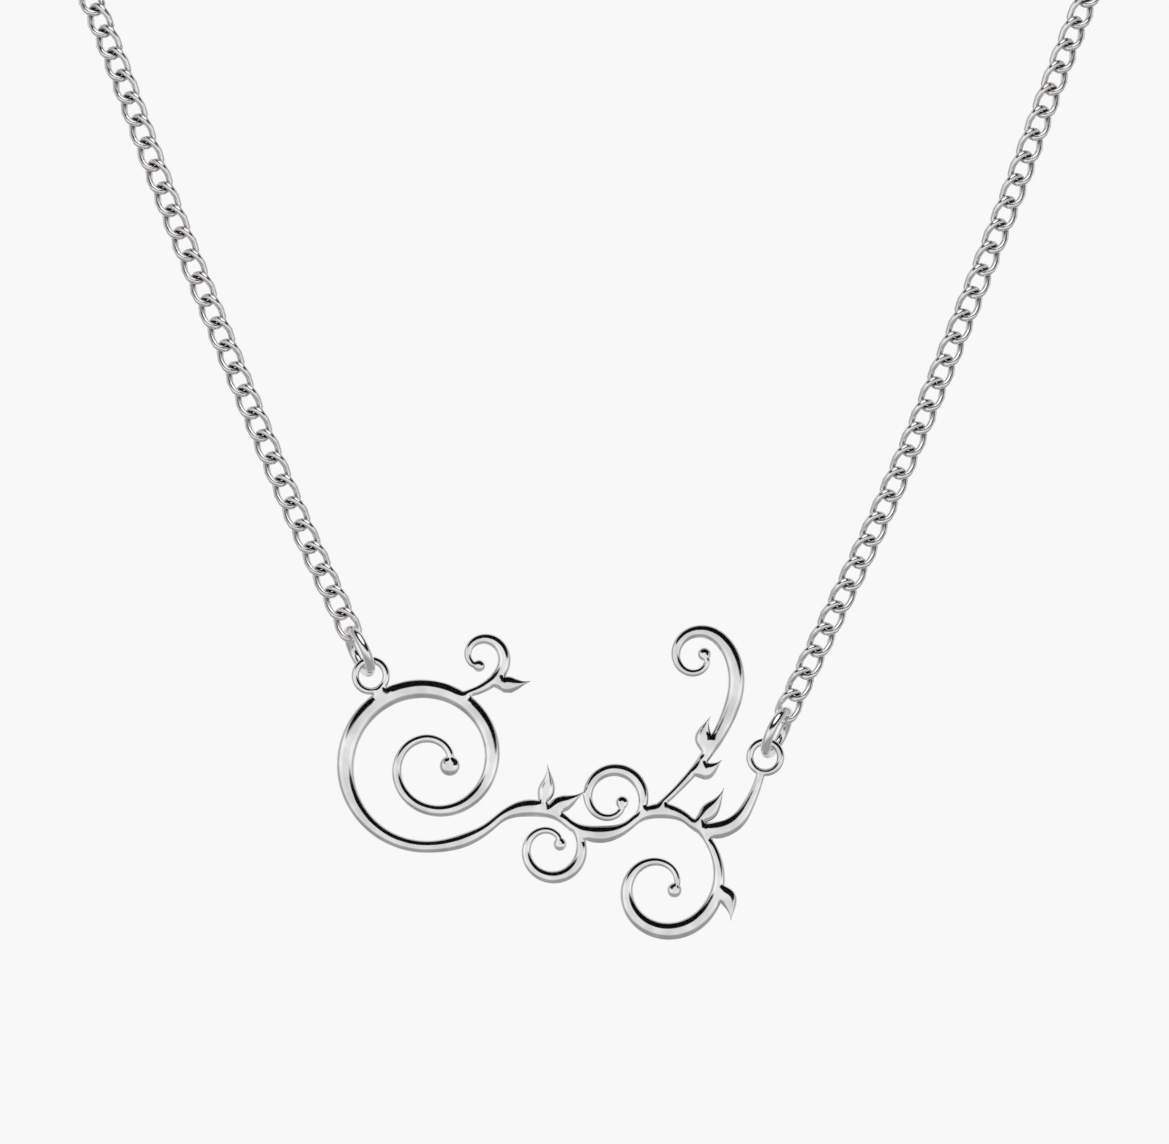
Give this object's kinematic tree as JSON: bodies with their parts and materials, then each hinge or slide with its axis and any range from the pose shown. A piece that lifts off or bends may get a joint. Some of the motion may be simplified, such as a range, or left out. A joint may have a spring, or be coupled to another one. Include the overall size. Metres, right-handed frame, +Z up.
{
  "type": "nameplate necklace",
  "caption": "Necklace of fine curb chain that carries a pierced flat scrollwork plate by jump rings in its end eyelets, closed by a plain hoop clasp at the nape.",
  "frame": {"origin": "middle of the clasp hoop, where the necklace rests on the nape of the neck", "axes": "+Z up, -Y to the front so that the plate faces -Y, +X to the right of someone who looks at the plate"},
  "size_m": [0.1158, 0.116, 0.1376],
  "materials": {
    "plate_silver": "polished sterling silver sheet",
    "ring_silver": "polished sterling silver wire",
    "chain_silver": "polished sterling silver wire"
  },
  "bodies": {
    "root": {"nameplate": "plate_silver", "jump_ring_left": "ring_silver", "jump_ring_right": "ring_silver", "chain_left": "chain_silver", "chain_left_back": "chain_silver", "chain_right": "chain_silver", "chain_right_back": "chain_silver", "end_ring": "ring_silver", "clasp": "ring_silver"}
  },
  "joints": []
}
